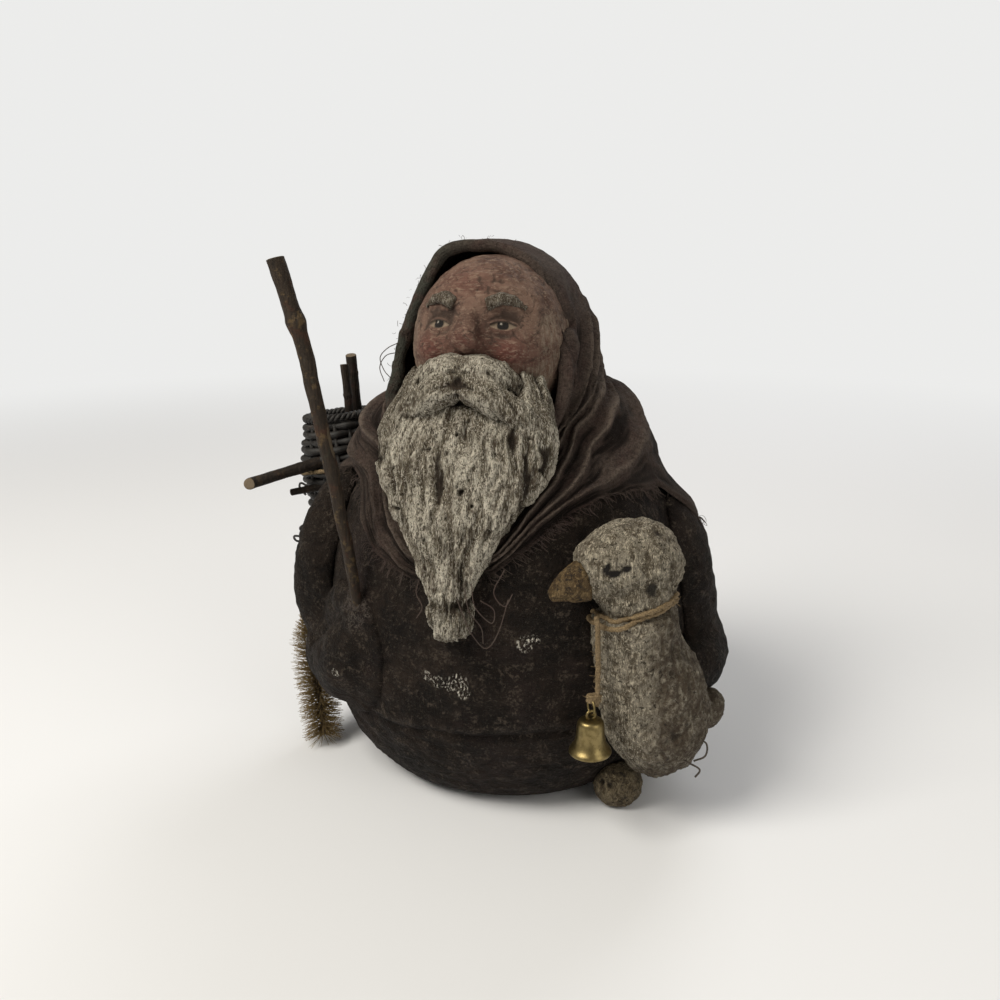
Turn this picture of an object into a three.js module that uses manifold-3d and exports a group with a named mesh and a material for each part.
// A folk-art winter gift bringer: a stuffed, weighted doll with a goose, a staff and a basket of twigs.
// Millimetres, +Z up. The doll faces -Y, its left side is +X, and its flat bottom lies at z = 0.
import * as THREE from "three";
import { mergeVertices } from "three/addons/utils/BufferGeometryUtils.js";
import Module from "manifold-3d";

const wasm = await Module();
wasm.setup();

// Clearance between pieces that are glued, sewn or laid on each other
const GAP = 0.3;

// Stuffed body
const BASE_RADIUS = 38;
const BODY_RADIUS = 61;
const BODY_WIDEST_Z = 44;
const NECK_RADIUS = 21;
const NECK_Z = 114;
const BODY_DEPTH_SHARE = 0.97;
const SKIN_WALL = 1.2;
const BODY_STEPS = 5;
const BODY_SEGMENTS = 24;

// Disc, ballast and dowel inside the body
const DISC_THICKNESS = 3;
const BALLAST_RADIUS = 24;
const BALLAST_HEIGHT = 14;
const BALLAST_CORNER = 3;
const STUFFING_FOOT = 2;
const DOWEL_RADIUS = 3;
const DOWEL_Y = -9;
const DOWEL_DEPTH = 46;
const DOWEL_IN_HEAD = 20;

// Head
const HEAD_CENTRE = [-1, -16, 138.5];
const HEAD_RADII = [24, 26, 26.5];
const HEAD_TILT = -8;
const NOSE_LENGTH = 11;
const NOSE_WIDTH = 7.4;
const CHEEK_RADII = [6.8, 6.2, 6.4];
const BROW_RIDGE_HEIGHT = 10.5;
const BROW_THICKNESS = 1.7;

// A place beside the body is degrees from the front towards the doll's left, height, and distance
// out from the body's surface at that height.

// Cloth over the head and shoulders
const HOOD_CENTRE = [-3, -5, 133];
const HOOD_RADII = [29.5, 33, 37];
const HOOD_SQUARENESS = 2.6;
const HOOD_WALL = 2.2;
const HOOD_RIM_TOP_Y = -13;
const HOOD_RIM_LEAN = 17;
const HOOD_ROLL_RADIUS = 2.1;
const HOOD_SEGMENTS = 20;
const SHAWL_THICKNESS = 2.6;
// Folds that bunch up between the neck and each shoulder
const LEFT_BUNCH = { place: [95.9, 106.5, -7.9], radii: [14.5, 25, 23.5], turn: -35 };
const RIGHT_BUNCH = { place: [-73, 105, -4.5], radii: [14, 20, 19], turn: 35 };
// Lower edge of the shawl: degrees from the front towards the doll's left, and height
const SHAWL_EDGE = [
  [-180, 74],
  [-120, 90],
  [-80, 98],
  [-58, 97],
  [-42, 86],
  [-30, 78],
  [0, 73],
  [13, 80],
  [30, 92],
  [46, 97],
  [84, 95],
  [96, 83],
  [125, 78],
  [180, 74],
];

// Arms, each a stuffed tube bent at the elbow
const UPPER_ARM_LENGTH = 62;
const UPPER_ARM_WIDTH = 36;
const UPPER_ARM_DEPTH = 27;
const RIGHT_ARM_PLACE = [-76.656, 67, -0.711];
const LEFT_ARM_PLACE = [93.278, 64, -5.244];
const FOREARM_RADIUS = 12;
const RIGHT_FOREARM = [
  [-74.488, 40, -6.939],
  [-61.425, 38, -0.434],
  [-48.982, 38, 2.833],
  [-39.007, 45, 3.349],
  [-30.427, 56, 4.752],
];
const LEFT_FOREARM = [
  [108.644, 48, -2.889],
  [95.79, 42, 0.337],
  [82.3, 39, 0.704],
  [69.45, 40, -2.167],
  [60.895, 42, -3.75],
];

// Staff and twigs
const STAFF = [
  [-33.06, 62.7, 1.58],
  [-33.6, 84.6, 10.4],
  [-35.23, 120.7, 48.42],
  [-36.32, 143.7, 52.32],
  [-38.45, 165.0, 57.06],
];
const STAFF_FOOT_RADIUS = 1.6;
const STAFF_TOP_RADIUS = 2.35;
const KNUCKLE_AT = 0.83;
const KNUCKLE_RISE = 1.1;

// Basket behind the right shoulder
const BASKET_PLACE = [-107.742, 60.7, 9.6];
const BASKET_LEAN = 8;
const BASKET_HEIGHT = 44;
const BASKET_BASE_RADIUS = 9.5;
const BASKET_BELLY_RADIUS = 15.5;
const BASKET_RIM_RADIUS = 12;
const BASKET_WALL = 1.6;
const BASKET_BASE_THICKNESS = 2;
const WEAVE_ROWS = 16;
const WEAVE_RISE = 0.6;
const RIM_VINE_RADIUS = 1.4;
const TIE_RADIUS = 0.8;
const TIE_HEIGHT = 27.3;

// Twigs, from foot to tip in the basket's own frame: sideways, back and up from the middle of its base
const FORKED_TWIG_TIP = [8.68, -6.26, 63.8];
const TALL_TWIG_TIP = [8.42, 0.43, 66.5];
const SIDE_TWIG = [
  [5.76, -6.25, 32.3],
  [-21.1, -32.1, 27.85],
];
const STUB_TWIG = [
  [4, -8, 22],
  [-12.5, -20.1, 21.7],
];

// Bottle-brush tree under the right elbow
const TREE_TOP_PLACE = [-78.186, 42, 9.517];
const TREE_TIP_PLACE = [-67.34, 3, 19.213];
const TREE_RADIUS = 8.5;
const TREE_CORE_RADIUS = 0.8;

// Goose under the left arm
const GOOSE_NECK_PLACE = [46.977, 66, 5.999];
const GOOSE_SPINE = [
  [47.948, 69.2, 6.326],
  [49.917, 56, 3.635],
  [54.109, 44, 3.187],
  [57.874, 30, 5.139],
  [59.891, 17, 8.574],
];
// Head and bill, from the middle of the neck
const GOOSE_HEAD = [
  [8.5, 8.5, 10.5],
  [1, 2, 16],
  [-6.5, -4, 16.5],
  [-12, -8, 14.5],
];
const GOOSE_BILL = [
  [-11, -7.5, 13.5],
  [-16, -11.6, 12],
  [-20.1, -14.2, 9.8],
];
const GOOSE_NECK_RADIUS = 11.8;
const GOOSE_BREAST_RADIUS = 16.5;
const GOOSE_FOOT_RADIUS = 7.6;
const GOOSE_TAIL_PLACE = [76.365, 27, 10.758];
const GOOSE_TAIL_RADII = [5.6, 6.4, 7.2];
const GOOSE_FOOT_HEIGHT = 14.4;
const GOOSE_FOOT_PLACE = [52.289, 6.4, 5.673];
const COLLAR_RADIUS = 0.8;
const COLLAR_SLACK = 0.9;
const COLLAR_DROP = 4.5;
const COLLAR_HALF_TURN = 138;
const COLLAR_ABOVE_NECK = 3.6;
const KNOT_DEGREES = -34.67;

// Bell and what it hangs from
const BELL_BEYOND_COLLAR = 1.09;
const BELL_MOUTH_Z = 29;
const BELL_HEIGHT = 10.5;
const BELL_MOUTH_RADIUS = 6.1;
const BELL_CROWN_RADIUS = 3.8;
const BELL_WALL = 0.5;
const CROWN_LOOP_RADIUS = 1.3;
const CROWN_LOOP_WIRE = 0.4;
const CROWN_LOOP_SUNK = 0.35;
const RING_RADIUS = 2.3;
const RING_WIRE = 0.3;
const TWINE_RADIUS = 0.8;
const KNOT_RADII = [1.25, 2.5, 1.9];
const KNOT_SIDE = 0.75;
const PIN_BELOW_CROWN = 1.3;
const CLAPPER_PIN_RADIUS = 0.25;
const CLAPPER_EYE_RADIUS = 0.8;
const CLAPPER_WIRE = 0.28;
const CLAPPER_BALL_RADIUS = 1.5;

const paint = (color, roughness, metalness = 0) =>
  new THREE.MeshStandardMaterial({ color, roughness, metalness });
const MUSLIN = () => paint(0x3b3431, 0.7);
const CLOTH = () => paint(0x5f4e48, 0.9);
const HAIR = () => paint(0xafa896, 0.85);
const BARK = () => paint(0x4a3424, 0.7);
const VINE = () => paint(0x2a211b, 0.85);
const FEATHER = () => paint(0x96917f, 0.8);
const TWINE = () => paint(0x9a7c50, 0.9);
const BRASS = () => paint(0xb08a3c, 0.3, 1);

const part = new THREE.Group();

function solidOf(geometry) {
  const bare = geometry.clone();
  bare.deleteAttribute("normal");
  bare.deleteAttribute("uv");
  const merged = mergeVertices(bare, 1e-4);
  const mesh = new wasm.Mesh({
    numProp: 3,
    vertProperties: merged.attributes.position.array,
    triVerts: new Uint32Array(merged.index.array),
  });
  return new wasm.Manifold(mesh);
}

function add(name, solid, material) {
  const made = solid.getMesh();
  const geometry = new THREE.BufferGeometry();
  geometry.setAttribute("position", new THREE.BufferAttribute(new Float32Array(made.vertProperties), 3));
  geometry.setIndex(new THREE.BufferAttribute(new Uint32Array(made.triVerts), 1));
  geometry.computeVertexNormals();
  const mesh = new THREE.Mesh(geometry, material);
  mesh.name = name;
  part.add(mesh);
}

const radians = (degrees) => THREE.MathUtils.degToRad(degrees);
const point = (p) => new THREE.Vector3(p[0], p[1], p[2]);
const mix = THREE.MathUtils.lerp;

// An oval ball: half sizes, turns about X, Y and Z in degrees, and an extra skin all over
function ball(centre, radii, turns = [0, 0, 0], skin = 0, detail = 20) {
  const geometry = new THREE.SphereGeometry(1, detail, Math.round(detail * 0.7));
  geometry.rotateX(Math.PI / 2);
  geometry.scale(radii[0] + skin, radii[1] + skin, radii[2] + skin);
  geometry.rotateX(radians(turns[0]));
  geometry.rotateY(radians(turns[1]));
  geometry.rotateZ(radians(turns[2]));
  geometry.translate(centre[0], centre[1], centre[2]);
  return solidOf(geometry);
}

function box(low, high) {
  const geometry = new THREE.BoxGeometry(high[0] - low[0], high[1] - low[1], high[2] - low[2]);
  geometry.translate((low[0] + high[0]) / 2, (low[1] + high[1]) / 2, (low[2] + high[2]) / 2);
  return solidOf(geometry);
}

// A bar of oval section along a smooth path.
// The half width along side and the half depth across it are each given at t from 0 to 1.
// Both ends reach further out by the last value.
function bar(points, width, depth, side, sides = 12, steps = 12, reach = 0) {
  const path = new THREE.CatmullRomCurve3(points.map(point));
  const geometry = new THREE.CylinderGeometry(1, 1, 1, sides, steps);
  const places = geometry.attributes.position;
  const wide = point(side);
  for (let i = 0; i < places.count; i++) {
    const t = 0.5 - places.getY(i);
    const along = path.getTangentAt(t);
    const across = wide.clone().addScaledVector(along, -wide.dot(along)).normalize();
    const deep = along.clone().cross(across);
    const place = path.getPointAt(t);
    if (t === 0) place.addScaledVector(along, -reach);
    if (t === 1) place.addScaledVector(along, reach);
    place.addScaledVector(across, places.getX(i) * width(t));
    place.addScaledVector(deep, places.getZ(i) * depth(t));
    places.setXYZ(i, place.x, place.y, place.z);
  }
  return solidOf(geometry);
}

// A round stick with a taper
const stick = (points, from, to, sides = 10, steps = 8) =>
  bar(points, (t) => mix(from, to, t), (t) => mix(from, to, t), [0.31, -0.93, 0.2], sides, steps);

// A half size that swells in the middle and closes at both ends
const swell = (size, ends = 0.12, power = 0.5) => (t) =>
  size * Math.max(ends, Math.pow(1 - Math.pow(Math.abs(2 * t - 1), 2.4), power));

function turned(profile, segments) {
  const geometry = new THREE.LatheGeometry(profile.map((p) => new THREE.Vector2(p[0], p[1])), segments);
  geometry.rotateX(Math.PI / 2);
  return geometry;
}

// A torus-like ring of wire in the plane of the two unit directions
function wireRing(centre, radius, wire, first, second, around = 20, sides = 6) {
  const geometry = new THREE.TorusGeometry(radius, wire, sides, around);
  const normal = first.clone().cross(second);
  geometry.applyMatrix4(new THREE.Matrix4().makeBasis(first, second, normal));
  geometry.translate(centre.x, centre.y, centre.z);
  return solidOf(geometry);
}

// Body outline from the edge of the flat bottom up to the neck, moved out by the skin given
function bodyOutline(skin, steps = BODY_STEPS) {
  const outline = [];
  const addPoint = (r, z, nr, nz) => {
    const length = Math.hypot(nr, nz);
    outline.push([r + (skin * nr) / length, z + (skin * nz) / length]);
  };
  const low = BODY_RADIUS - BASE_RADIUS;
  const high = NECK_Z - BODY_WIDEST_Z;
  const slope = BODY_RADIUS - NECK_RADIUS;
  for (let i = 0; i < steps; i++) {
    const a = (i / steps) * (Math.PI / 2);
    addPoint(
      BASE_RADIUS + low * Math.sin(a),
      BODY_WIDEST_Z * (1 - Math.cos(a)),
      BODY_WIDEST_Z * Math.sin(a),
      -low * Math.cos(a),
    );
  }
  for (let i = 0; i <= steps; i++) {
    const a = (i / steps) * (Math.PI / 2);
    addPoint(
      NECK_RADIUS + slope * Math.cos(a),
      BODY_WIDEST_Z + high * Math.sin(a),
      high * Math.cos(a),
      slope * Math.sin(a),
    );
  }
  return outline;
}

function bodyTurned(profile, segments = BODY_SEGMENTS) {
  const geometry = turned(profile, segments);
  geometry.scale(1, BODY_DEPTH_SHARE, 1);
  return solidOf(geometry);
}

// The whole body as a plain solid with an extra skin, to cut what lies against it
function bodySolid(skin) {
  const outline = bodyOutline(skin);
  return bodyTurned([[0, outline[0][1]], ...outline, [0, outline.at(-1)[1]]]);
}

const bodyCut = bodySolid(GAP);

function bodyRadius(z) {
  const below = 1 - Math.max(z, 0) / BODY_WIDEST_Z;
  const above = Math.min(1, (z - BODY_WIDEST_Z) / (NECK_Z - BODY_WIDEST_Z));
  return z < BODY_WIDEST_Z
    ? BASE_RADIUS + (BODY_RADIUS - BASE_RADIUS) * Math.sqrt(1 - below * below)
    : NECK_RADIUS + (BODY_RADIUS - NECK_RADIUS) * Math.sqrt(1 - above * above);
}

function besideBody([degrees, height, away]) {
  const radius = bodyRadius(height) + away;
  const angle = radians(degrees);
  return [radius * Math.sin(angle), -radius * Math.cos(angle) * BODY_DEPTH_SHARE, height];
}

function bodySkin() {
  const outer = bodyOutline(0);
  const inner = bodyOutline(-SKIN_WALL).reverse();
  return bodyTurned([...outer, ...inner, outer[0]]);
}

function stuffing() {
  const floor = DISC_THICKNESS + GAP;
  const pocketTop = floor + BALLAST_HEIGHT + GAP;
  const side = bodyOutline(-SKIN_WALL - GAP).filter((p) => p[1] > floor + 1);
  const top = side.at(-1)[1];
  const profile = [
    [0, pocketTop],
    [BALLAST_RADIUS + GAP, pocketTop],
    [BALLAST_RADIUS + GAP, floor],
    [BASE_RADIUS + STUFFING_FOOT, floor],
    ...side,
    [0, top],
  ];
  return bodyTurned(profile).subtract(dowel(GAP));
}

function baseDisc() {
  const radius = BASE_RADIUS - GAP;
  return bodyTurned([[0, 0], [radius, 0], [radius, DISC_THICKNESS], [0, DISC_THICKNESS]]);
}

function ballastBag() {
  const low = DISC_THICKNESS + GAP;
  const soft = BALLAST_CORNER;
  const profile = [
    [0, low],
    [BALLAST_RADIUS - soft, low],
    [BALLAST_RADIUS, low + soft],
    [BALLAST_RADIUS, low + BALLAST_HEIGHT - soft],
    [BALLAST_RADIUS - soft, low + BALLAST_HEIGHT],
    [0, low + BALLAST_HEIGHT],
  ];
  return bodyTurned(profile, 24);
}

function dowel(skin) {
  const foot = [0, DOWEL_Y, NECK_Z - DOWEL_DEPTH - skin];
  const top = [0, DOWEL_Y, NECK_Z + DOWEL_IN_HEAD + skin];
  return stick([foot, top], DOWEL_RADIUS + skin, DOWEL_RADIUS + skin, 16, 1);
}

// A point on the front of the head, given by degrees round from the middle,
// height above the head's centre, and distance out
function onFace(side, up, out = 0) {
  const tilt = radians(HEAD_TILT);
  const ring = Math.sqrt(Math.max(0, 1 - (up / HEAD_RADII[2]) ** 2));
  const x = (HEAD_RADII[0] * ring + out) * Math.sin(radians(side));
  const y = -(HEAD_RADII[1] * ring + out) * Math.cos(radians(side));
  return [
    HEAD_CENTRE[0] + x,
    HEAD_CENTRE[1] + y * Math.cos(tilt) - up * Math.sin(tilt),
    HEAD_CENTRE[2] + y * Math.sin(tilt) + up * Math.cos(tilt),
  ];
}

// Head with a plain nose, brow and cheeks
function headSolid(skin) {
  const skull = ball(HEAD_CENTRE, HEAD_RADII, [HEAD_TILT, 0, 0], skin, 18);
  const nose = bar(
    [onFace(0, 10, -1.5), onFace(0, 5, 0.8), onFace(0, 1, 3), onFace(0, 10 - NOSE_LENGTH, -1)],
    (t) => NOSE_WIDTH * (0.24 + 0.26 * Math.sin(Math.PI * Math.min(1, t * 1.1) * 0.8)) + skin,
    (t) => 2.6 * (0.7 + 0.5 * t) + skin,
    [1, 0, 0],
    10,
    6,
    skin,
  );
  const cheeks = [-32, 32].map((side) => ball(onFace(side, -1.5, -4.6), CHEEK_RADII, [0, 0, 0], skin, 12));
  const brow = bar(
    [-40, 0, 40].map((side) => onFace(side, BROW_RIDGE_HEIGHT - Math.abs(side) / 40, -2)),
    () => 2.6 + skin,
    () => 2.8 + skin,
    [0, 0, 1],
    10,
    10,
    skin,
  );
  return skull.add(nose).add(cheeks[0]).add(cheeks[1]).add(brow);
}

const headCut = headSolid(GAP);

function head() {
  const neckFloor = NECK_Z + GAP;
  return headSolid(0).subtract(box([-60, -80, 60], [60, 40, neckFloor])).subtract(dowel(GAP));
}

// The beard hangs from the cheeks over the chest to a tuft on the belly
const BEARD_PATH = [
  [-1, -31, 132],
  [-1.5, -37, 120],
  [-2.5, -44, 106],
  [-2.5, -51.5, 92],
  [-1.5, -57.5, 78],
  [0, -60.5, 68],
  [0.5, -61.5, 62],
];
const BEARD_HALF_WIDTHS = [20, 26, 27.5, 21, 13, 8, 5];
const BEARD_HALF_DEPTHS = [9, 12, 11.5, 9.5, 8, 6.6, 4.6];

const stepped = (values) => (t) => {
  const place = t * (values.length - 1);
  const i = Math.min(values.length - 2, Math.floor(place));
  return mix(values[i], values[i + 1], place - i);
};

function beardSolid(skin) {
  const wide = stepped(BEARD_HALF_WIDTHS);
  const deep = stepped(BEARD_HALF_DEPTHS);
  return bar(BEARD_PATH, (t) => wide(t) + skin, (t) => deep(t) + skin, [1, 0, 0], 14, 11, skin);
}

function moustacheSolid(skin) {
  const path = [
    onFace(-62, -19, -1),
    onFace(-36, -14, 1.6),
    onFace(-13, -8.4, 3),
    onFace(0, -9, 3.2),
    onFace(13, -8.4, 3),
    onFace(36, -14, 1.6),
    onFace(62, -19, -1),
  ];
  const thick = stepped([1.6, 4.4, 5.4, 5, 5.4, 4.4, 1.6]);
  return bar(path, (t) => thick(t) + skin, (t) => thick(t) * 0.8 + skin, [0, 0, 1], 8, 12, skin);
}

function eyebrow(side) {
  const path = [
    onFace(side * 12, BROW_RIDGE_HEIGHT, 0.6),
    onFace(side * 25, BROW_RIDGE_HEIGHT + 1.9, 0.4),
    onFace(side * 41, BROW_RIDGE_HEIGHT - 0.9, -0.4),
  ];
  const thick = stepped([0.9, 1, 0.55]);
  const across = (t) => 2 * thick(t);
  return bar(path, across, (t) => BROW_THICKNESS * 1.6 * thick(t), [0, 0, 1], 6, 5).subtract(headCut);
}

// The hood is a ball that is squarer in plan, so that its front opens wide
function hoodBall(skin) {
  const geometry = new THREE.SphereGeometry(1, HOOD_SEGMENTS, Math.round(HOOD_SEGMENTS * 0.7));
  geometry.rotateX(Math.PI / 2);
  const places = geometry.attributes.position;
  const power = HOOD_SQUARENESS;
  for (let i = 0; i < places.count; i++) {
    const [x, y] = [places.getX(i), places.getY(i)];
    const radius = Math.hypot(x, y);
    const corner = Math.abs(x / radius) ** power + Math.abs(y / radius) ** power;
    const spread = radius < 1e-6 ? 1 : corner ** (-1 / power);
    places.setXY(i, x * spread, y * spread);
  }
  geometry.scale(HOOD_RADII[0] + skin, HOOD_RADII[1] + skin, HOOD_RADII[2] + skin);
  geometry.translate(HOOD_CENTRE[0], HOOD_CENTRE[1], HOOD_CENTRE[2]);
  return solidOf(geometry);
}

// Half width of the hood at a height and a depth, all as shares of its radii
function hoodHalfWidth(up, back) {
  const level = Math.sqrt(Math.max(0, 1 - up ** 2));
  const inside = Math.max(0, 1 - Math.abs(back / level) ** HOOD_SQUARENESS);
  return level * inside ** (1 / HOOD_SQUARENESS);
}

// The hood's rolled rim, an arch round the face
function hoodRoll(skin) {
  const lean = radians(HOOD_RIM_LEAN);
  const roll = [];
  for (let i = 0; i <= 24; i++) {
    const a = radians(mix(-32, 212, i / 24));
    const up = Math.sin(a);
    const z = HOOD_CENTRE[2] + (HOOD_RADII[2] - 1.6) * up;
    const y = HOOD_RIM_TOP_Y - (HOOD_CENTRE[2] + HOOD_RADII[2] - z) * Math.tan(lean);
    const wide = hoodHalfWidth(up, (y - HOOD_CENTRE[1]) / HOOD_RADII[1]);
    roll.push([HOOD_CENTRE[0] + Math.sign(Math.cos(a)) * (HOOD_RADII[0] - 1.2) * wide, y, z]);
  }
  const kept = roll.filter((p) => Math.abs(p[0] - HOOD_CENTRE[0]) > 1);
  const size = () => HOOD_ROLL_RADIUS + skin;
  return bar(kept, size, size, [0, 1, 0.2], 6, 22, skin);
}

// The hood: a thin dome with its rolled rim
function hood() {
  const rim = new THREE.BoxGeometry(200, 100, 200);
  rim.translate(0, -50, 0);
  rim.rotateX(radians(-HOOD_RIM_LEAN));
  rim.translate(0, HOOD_RIM_TOP_Y, HOOD_CENTRE[2] + HOOD_RADII[2]);
  const front = solidOf(rim);
  return hoodBall(0)
    .subtract(hoodBall(-HOOD_WALL))
    .subtract(front)
    .add(hoodRoll(0))
    .subtract(headCut)
    .subtract(bodyCut)
    .subtract(beardSolid(GAP))
    .subtract(moustacheSolid(GAP))
    .subtract(box([-90, -90, 60], [90, 90, NECK_Z - 3]));
}

// Stuffed upper arms lie against the body's sides
const upperArm = (side, skin) =>
  ball(
    besideBody(side < 0 ? RIGHT_ARM_PLACE : LEFT_ARM_PLACE),
    [UPPER_ARM_DEPTH / 2, UPPER_ARM_WIDTH / 2, UPPER_ARM_LENGTH / 2],
    side < 0 ? [-17, 9, 0] : [-4, -14, 8],
    skin,
    16,
  );

function forearm(path, skin) {
  const size = (t) => swell(FOREARM_RADIUS, 0.3)(t) + skin;
  return bar(path.map(besideBody), size, size, [0, 0, 1], 12, 9, skin);
}

// Height of the shawl's lower edge at an angle round the body
function shawlEdge(degrees) {
  const i = Math.max(1, SHAWL_EDGE.findIndex((p) => p[0] >= degrees));
  const [a, low] = SHAWL_EDGE[i - 1];
  const [b, high] = SHAWL_EDGE[i];
  return mix(low, high, (degrees - a) / (b - a));
}

// Everything above the lower edge of the shawl
function aboveShawlEdge() {
  const [floor, top, reach] = [0, NECK_Z + 16, BODY_RADIUS + 34];
  const geometry = turned([[0, floor], [reach / 3, floor], [reach, floor], [reach, top], [0, top]], 30);
  const places = geometry.attributes.position;
  for (let i = 0; i < places.count; i++) {
    const [x, y, z] = [places.getX(i), places.getY(i), places.getZ(i)];
    if (z < NECK_Z && Math.hypot(x, y) > reach / 6) {
      places.setZ(i, shawlEdge(THREE.MathUtils.radToDeg(Math.atan2(x, -y))));
    }
  }
  return solidOf(geometry);
}

function shawl() {
  const covered = (skin) => bodySolid(skin).add(upperArm(-1, skin)).add(upperArm(1, skin));
  const bunch = ({ place, radii, turn }) => ball(besideBody(place), radii, [0, turn, 0]);
  return covered(GAP + SHAWL_THICKNESS)
    .add(bunch(LEFT_BUNCH))
    .add(bunch(RIGHT_BUNCH))
    .subtract(box([-90, -90, 40], [90, 90, 84]))
    .add(covered(GAP + SHAWL_THICKNESS))
    .subtract(covered(GAP))
    .intersect(aboveShawlEdge())
    .subtract(hoodBall(GAP + 0.4))
    .subtract(hoodRoll(GAP + 0.3))
    .subtract(beardSolid(GAP))
    .subtract(headCut);
}

function staffSolid(skin) {
  const knuckle = (t) => KNUCKLE_RISE * Math.exp(-(((t - KNUCKLE_AT) / 0.03) ** 2));
  const size = (t) => mix(STAFF_FOOT_RADIUS, STAFF_TOP_RADIUS, t) + skin;
  const wide = (t) => size(t) + knuckle(t);
  return bar(STAFF.map(besideBody), wide, size, [1, 0.2, 0.2], 10, 16);
}

// Basket frame: the base's centre, and the axis that leans away from the body
const basketAt = besideBody(BASKET_PLACE);
const basketAxis = new THREE.Vector3(basketAt[0], basketAt[1], 0).normalize();
basketAxis.multiplyScalar(Math.sin(radians(BASKET_LEAN)));
basketAxis.z = Math.cos(radians(BASKET_LEAN));

function inBasket(solidGeometry) {
  const turn = new THREE.Quaternion().setFromUnitVectors(new THREE.Vector3(0, 0, 1), basketAxis);
  solidGeometry.applyQuaternion(turn);
  solidGeometry.translate(basketAt[0], basketAt[1], basketAt[2]);
  return solidOf(solidGeometry);
}

// The basket's outer radius at a share of its height
function basketRadius(t) {
  const belly = BASKET_BELLY_RADIUS - (BASKET_BASE_RADIUS + BASKET_RIM_RADIUS) / 2;
  return mix(BASKET_BASE_RADIUS, BASKET_RIM_RADIUS, t) + belly * Math.sin(Math.PI * t);
}

function basketOutline(inset) {
  const outline = [];
  const steps = 5;
  for (let i = 0; i <= steps; i++) {
    outline.push([basketRadius(i / steps) - inset, (BASKET_HEIGHT * i) / steps]);
  }
  return outline;
}

const basketFilled = (skin) => {
  const outline = basketOutline(-skin);
  return inBasket(turned([[0, -skin], ...outline, [0, BASKET_HEIGHT]], 28));
};

// The wall's outside, with one rib for each row of the weave
function wovenOutline() {
  const outline = [[basketRadius(0) - WEAVE_RISE, 0]];
  for (let row = 0; row < WEAVE_ROWS; row++) {
    const middle = (row + 0.5) / WEAVE_ROWS;
    const top = (row + 1) / WEAVE_ROWS;
    outline.push([basketRadius(middle) + WEAVE_RISE / 3, BASKET_HEIGHT * middle]);
    outline.push([basketRadius(top) - WEAVE_RISE, BASKET_HEIGHT * top]);
  }
  return outline;
}

function basketWall(holes) {
  const outer = wovenOutline();
  const inner = basketOutline(BASKET_WALL).reverse();
  const wall = inBasket(turned([...outer, ...inner, outer[0]], 18));
  return holes.reduce((left, hole) => left.subtract(hole), wall);
}

function basketBase() {
  const radius = BASKET_BASE_RADIUS - BASKET_WALL - GAP;
  const profile = [[0, 0], [radius, 0], [radius, BASKET_BASE_THICKNESS], [0, BASKET_BASE_THICKNESS]];
  return inBasket(turned(profile, 22));
}

const basketPoint = ([side, front, up]) => {
  const turn = new THREE.Quaternion().setFromUnitVectors(new THREE.Vector3(0, 0, 1), basketAxis);
  const place = new THREE.Vector3(side, front, up).applyQuaternion(turn);
  return [place.x + basketAt[0], place.y + basketAt[1], place.z + basketAt[2]];
};

function basketRim() {
  const geometry = new THREE.TorusGeometry(BASKET_RIM_RADIUS - BASKET_WALL / 2, RIM_VINE_RADIUS, 6, 18);
  geometry.translate(0, 0, BASKET_HEIGHT + RIM_VINE_RADIUS + GAP);
  return inBasket(geometry);
}

function basketTie() {
  const radius = basketRadius(TIE_HEIGHT / BASKET_HEIGHT) + WEAVE_RISE / 3 + GAP + TIE_RADIUS;
  const geometry = new THREE.TorusGeometry(radius, TIE_RADIUS, 6, 18);
  geometry.translate(0, 0, TIE_HEIGHT);
  return inBasket(geometry);
}

const floorOfBasket = BASKET_BASE_THICKNESS + GAP;
const TWIGS = {
  twig_forked: { path: [[2, 2, floorOfBasket + 0.4], FORKED_TWIG_TIP], from: 1.5, to: 1.55 },
  twig_tall: { path: [[4, 5, floorOfBasket + 0.4], TALL_TWIG_TIP], from: 1.6, to: 1.95 },
  twig_side: { path: SIDE_TWIG, from: 1.9, to: 2.1 },
  twig_stub: { path: STUB_TWIG, from: 1.5, to: 1.2 },
};

const twig = (name, skin) => {
  const { path, from, to } = TWIGS[name];
  return stick(path.map(basketPoint), from + skin, to + skin, 10, 6);
};

// Bottle-brush tree: a wire core in a tapered brush
const treeTop = besideBody(TREE_TOP_PLACE);
const treeTip = besideBody(TREE_TIP_PLACE);
const treeCore = (skin) =>
  stick([treeTop, treeTip], TREE_CORE_RADIUS + skin, TREE_CORE_RADIUS + skin, 8, 1);

function treeBristles() {
  const size = stepped([4.5, TREE_RADIUS, TREE_RADIUS, 6, 2.2]);
  const inner = (a) => point(treeTop).lerp(point(treeTip), a).toArray();
  return bar([inner(0.06), inner(0.5), inner(0.97)], size, size, [1, 0, 0], 14, 8);
}

// Goose: body, head, bill, tail and foot
const gooseNeck = besideBody(GOOSE_NECK_PLACE);
const fromGooseNeck = (p) => p.map((value, i) => value + gooseNeck[i]);
const gooseSize = stepped([
  GOOSE_NECK_RADIUS,
  GOOSE_NECK_RADIUS + 1.2,
  GOOSE_BREAST_RADIUS - 0.4,
  GOOSE_BREAST_RADIUS,
  GOOSE_BREAST_RADIUS * 0.6,
]);
function gooseSolid(skin) {
  const size = (t) => gooseSize(t) + skin;
  return bar(GOOSE_SPINE.map(besideBody), size, size, [1, 0.4, 0], 16, 10, skin);
}

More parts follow.
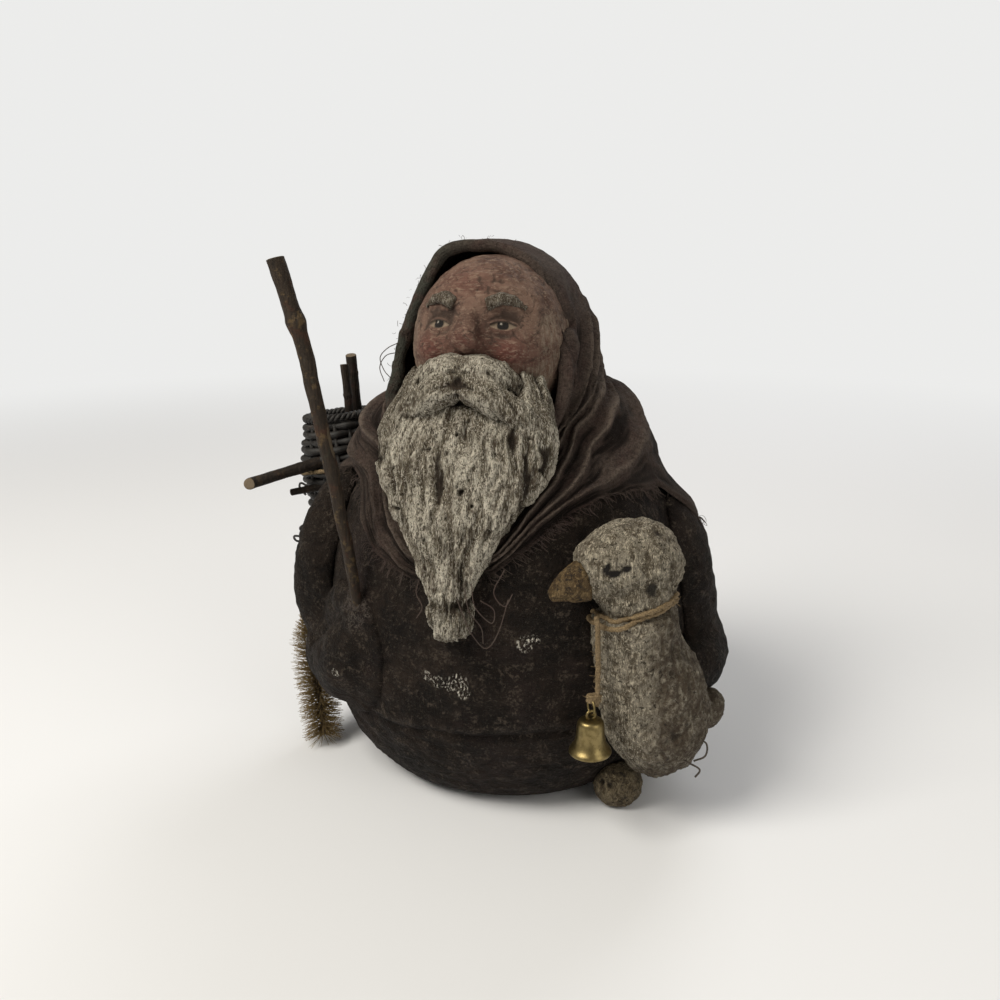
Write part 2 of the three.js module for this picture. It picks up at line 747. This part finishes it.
function gooseHeadSolid(skin) {
  const size = stepped([7.5, 13, 11.5, 7]);
  const throatAt = fromGooseNeck([0.3, 1.5, 9]);
  const throat = ball(throatAt, [GOOSE_NECK_RADIUS, GOOSE_NECK_RADIUS, 9], [0, 0, 0], skin, 14);
  const wide = (t) => size(t) + skin;
  const deep = (t) => size(t) * 0.92 + skin;
  return bar(GOOSE_HEAD.map(fromGooseNeck), wide, deep, [0, 0, 1], 14, 8, skin).add(throat);
}

function gooseBill() {
  const size = stepped([6.4, 4.8, 1.4]);
  return bar(GOOSE_BILL.map(fromGooseNeck), size, (t) => size(t) * 0.8, [0, 0, 1], 12, 6)
    .subtract(gooseHeadSolid(GAP))
    .subtract(bodyCut);
}

const tailSolid = (skin) => ball(besideBody(GOOSE_TAIL_PLACE), GOOSE_TAIL_RADII, [20, 25, 0], skin, 12);

function gooseFoot() {
  const radii = [GOOSE_FOOT_RADIUS, GOOSE_FOOT_RADIUS * 0.86, GOOSE_FOOT_HEIGHT / 2];
  return ball(besideBody(GOOSE_FOOT_PLACE), radii, [0, 0, 20], 0, 12)
    .subtract(box([-20, -90, -20], [90, 20, 0]))
    .subtract(bodyCut)
    .subtract(gooseSolid(GAP));
}

// The collar: a tilted loop of twine round the goose's neck, lower at the knot
const collarRadius = GOOSE_NECK_RADIUS + COLLAR_RADIUS + COLLAR_SLACK;
const toKnot = new THREE.Vector2(Math.sin(radians(KNOT_DEGREES)), -Math.cos(radians(KNOT_DEGREES)));
const collarAt = fromGooseNeck([0.3, 0.6, COLLAR_ABOVE_NECK]);

function collarPoint(degrees) {
  const [along, aside] = [Math.cos(radians(degrees)), Math.sin(radians(degrees))];
  return [
    collarAt[0] + collarRadius * (toKnot.x * along - toKnot.y * aside),
    collarAt[1] + collarRadius * (toKnot.y * along + toKnot.x * aside),
    collarAt[2] - (COLLAR_DROP / 2) * along,
  ];
}

function collarSolid(skin) {
  const loop = [];
  for (let i = 0; i <= 32; i++) {
    loop.push(collarPoint(mix(-COLLAR_HALF_TURN, COLLAR_HALF_TURN, i / 32)));
  }
  const size = () => COLLAR_RADIUS + skin;
  return bar(loop, size, size, [0, 0, 1], 6, 20, skin);
}

// Directions at the bell: out from the doll, and sideways
const bellAt = [
  gooseNeck[0] + (collarRadius + BELL_BEYOND_COLLAR) * toKnot.x,
  gooseNeck[1] + (collarRadius + BELL_BEYOND_COLLAR) * toKnot.y,
];
const outward = new THREE.Vector3(bellAt[0], bellAt[1], 0).normalize();
const sideways = new THREE.Vector3(-outward.y, outward.x, 0);
const upward = new THREE.Vector3(0, 0, 1);
const atBell = (z, out = 0, side = 0) =>
  new THREE.Vector3(bellAt[0], bellAt[1], z).addScaledVector(outward, out).addScaledVector(sideways, side);

// The ring hangs in the knot, and the crown loop hangs in the ring with a running gap
const bellTopZ = BELL_MOUTH_Z + BELL_HEIGHT;
const crownLoopZ = bellTopZ + CROWN_LOOP_RADIUS - CROWN_LOOP_SUNK;
const ringZ = crownLoopZ + CROWN_LOOP_RADIUS - CROWN_LOOP_WIRE - RING_WIRE - GAP + RING_RADIUS;
const ringTopZ = ringZ + RING_RADIUS;
const pinZ = bellTopZ - BELL_WALL - PIN_BELOW_CROWN;

// The twine hangs from the front of the collar with a slight wave and ends beside the ring
const collarTopZ = collarAt[2] - COLLAR_DROP / 2 + 4 * COLLAR_RADIUS;
const twineZ = (t) => mix(collarTopZ, ringZ, t);
const twinePath = new THREE.CatmullRomCurve3([
  atBell(twineZ(0), 0.9, 0.4),
  atBell(twineZ(0.085), 1.2, 0.6),
  atBell(twineZ(0.275), 0.8, 1),
  atBell(twineZ(0.53), 0.3, 1.9),
  atBell(twineZ(0.77), 0.2, 1.6),
  atBell(twineZ(0.995), 0, 1.6),
]);

function twineSolid(skin) {
  const section = new THREE.Shape();
  section.absarc(0, 0, TWINE_RADIUS + skin, 0, 2 * Math.PI);
  const options = { extrudePath: twinePath, steps: 8, curveSegments: 8, bevelEnabled: false };
  return solidOf(new THREE.ExtrudeGeometry(section, options));
}

const ringSolid = (skin) => wireRing(atBell(ringZ), RING_RADIUS, RING_WIRE + skin, outward, upward, 14);

function bellKnot() {
  const turn = THREE.MathUtils.radToDeg(Math.atan2(outward.y, outward.x));
  return ball(atBell(ringTopZ, 0, KNOT_SIDE).toArray(), KNOT_RADII, [0, 0, turn], 0, 8)
    .subtract(twineSolid(GAP / 2))
    .subtract(ringSolid(GAP));
}

function bellOutline(inset) {
  const r = BELL_MOUTH_RADIUS;
  const crown = BELL_CROWN_RADIUS;
  const h = BELL_HEIGHT;
  return [
    [r - inset, 0],
    [r - 0.25 - inset, 0.07 * h],
    [mix(crown, r, 0.55) - inset, 0.2 * h],
    [mix(crown, r, 0.25) - inset, 0.4 * h],
    [crown + 0.2 - inset, 0.65 * h],
    [crown - inset, 0.86 * h],
    [crown - 0.5 - inset * 0.8, 0.95 * h - inset * 0.6],
    [crown - 1.3 - inset * 0.4, h - inset],
  ];
}

function bellShell() {
  const crown = [[0, BELL_HEIGHT], [0, BELL_HEIGHT - BELL_WALL]];
  const profile = [...bellOutline(0), ...crown, ...bellOutline(BELL_WALL).reverse()];
  const geometry = turned([...profile, profile[0]], 16);
  geometry.translate(bellAt[0], bellAt[1], BELL_MOUTH_Z);
  const loop = wireRing(atBell(crownLoopZ), CROWN_LOOP_RADIUS, CROWN_LOOP_WIRE, sideways, upward, 12, 5);
  const half = BELL_CROWN_RADIUS - 0.3;
  const pin = stick(
    [atBell(pinZ, 0, -half).toArray(), atBell(pinZ, 0, half).toArray()],
    CLAPPER_PIN_RADIUS,
    CLAPPER_PIN_RADIUS,
    8,
    1,
  );
  return solidOf(geometry).add(loop.subtract(innerBell())).add(pin);
}

// The space inside the bell, where the crown loop's foot is filed off
function innerBell() {
  const radius = BELL_CROWN_RADIUS - 1;
  const top = BELL_HEIGHT - BELL_WALL / 2;
  const geometry = turned([[0, 0], [radius, 0], [radius, top], [0, top]], 16);
  geometry.translate(bellAt[0], bellAt[1], BELL_MOUTH_Z);
  return solidOf(geometry);
}

function clapper() {
  const eyeZ = pinZ - CLAPPER_EYE_RADIUS + CLAPPER_WIRE + CLAPPER_PIN_RADIUS + 0.12;
  const eye = wireRing(atBell(eyeZ), CLAPPER_EYE_RADIUS, CLAPPER_WIRE, outward, upward, 10, 5);
  const ballZ = BELL_MOUTH_Z + CLAPPER_BALL_RADIUS + 0.4;
  const stemTop = atBell(eyeZ - CLAPPER_EYE_RADIUS).toArray();
  const stem = stick([stemTop, atBell(ballZ).toArray()], CLAPPER_WIRE, CLAPPER_WIRE, 8, 1);
  const weight = ball(atBell(ballZ).toArray(), Array(3).fill(CLAPPER_BALL_RADIUS), [0, 0, 0], 0, 10);
  return eye.add(stem).add(weight);
}

// Body and what is inside it
add("base_disc", baseDisc(), paint(0x6b5a45, 0.9));
add("body_skin", bodySkin(), MUSLIN());
add("body_stuffing", stuffing(), paint(0xd8d2c4, 1));
add("ballast_bag", ballastBag(), paint(0xb9a888, 0.95));
add("neck_dowel", dowel(0), paint(0xc9a878, 0.8));

// Head, hair and cloth
const moustacheCut = moustacheSolid(GAP);
add("head", head(), paint(0x9b7562, 0.75));
add("moustache", moustacheSolid(0).subtract(headCut), HAIR());
add("beard", beardSolid(0).subtract(headCut).subtract(moustacheCut).subtract(bodyCut), HAIR());
add("eyebrow_right", eyebrow(-1), HAIR());
add("eyebrow_left", eyebrow(1), HAIR());
add("hood", hood(), CLOTH());
add("shawl", shawl().subtract(basketFilled(GAP)).subtract(staffSolid(GAP)), CLOTH());

// Staff and arms
const staffCut = staffSolid(GAP);
add("staff", staffSolid(0), BARK());
const rightUpperArm = upperArm(-1, 0).subtract(bodyCut).subtract(staffCut);
add("right_upper_arm", rightUpperArm.subtract(basketFilled(GAP)), MUSLIN());
add("left_upper_arm", upperArm(1, 0).subtract(bodyCut).subtract(gooseSolid(GAP)), MUSLIN());
const rightForearm = forearm(RIGHT_FOREARM, 0).subtract(bodyCut).subtract(upperArm(-1, GAP));
add("right_forearm", rightForearm.subtract(staffCut).subtract(treeCore(GAP)), MUSLIN());
const leftForearm = forearm(LEFT_FOREARM, 0).subtract(bodyCut).subtract(upperArm(1, GAP));
add("left_forearm", leftForearm.subtract(gooseSolid(GAP)).subtract(tailSolid(GAP)), MUSLIN());

// Basket and its twigs
const holes = ["twig_side", "twig_stub"].map((name) => twig(name, GAP));
add("basket_wall", basketWall(holes), VINE());
add("basket_rim", basketRim(), VINE());
add("basket_base", basketBase(), VINE());
add("basket_tie", basketTie().subtract(bodyCut).subtract(upperArm(-1, GAP)), TWINE());
for (const name of Object.keys(TWIGS)) {
  add(name, twig(name, 0), BARK());
}

// Bottle-brush tree
add("tree_core", treeCore(0), paint(0x55504a, 0.5, 0.8));
const rightArmCut = forearm(RIGHT_FOREARM, GAP).add(upperArm(-1, GAP));
const bristles = treeBristles().subtract(treeCore(GAP)).subtract(bodyCut).subtract(rightArmCut);
add("tree_bristles", bristles, paint(0x6b5230, 0.95));

// Goose
add("goose_body", gooseSolid(0).subtract(bodyCut), FEATHER());
const gooseHead = gooseHeadSolid(0).subtract(gooseSolid(GAP)).subtract(bodyCut);
add("goose_head", gooseHead.subtract(collarSolid(GAP)), FEATHER());
add("goose_bill", gooseBill(), paint(0xa57d4b, 0.8));
add("goose_tail", tailSolid(0).subtract(gooseSolid(GAP)).subtract(bodyCut), FEATHER());
add("goose_foot", gooseFoot(), FEATHER());

// Collar, twine, ring and bell
add("twine_collar", collarSolid(0).subtract(bodyCut).subtract(gooseSolid(GAP)), TWINE());
add("bell_twine", twineSolid(0), TWINE());
add("bell_knot", bellKnot(), TWINE());
add("jump_ring", ringSolid(0), BRASS());
add("bell_shell", bellShell(), BRASS());
add("bell_clapper", clapper(), BRASS());

export default part;
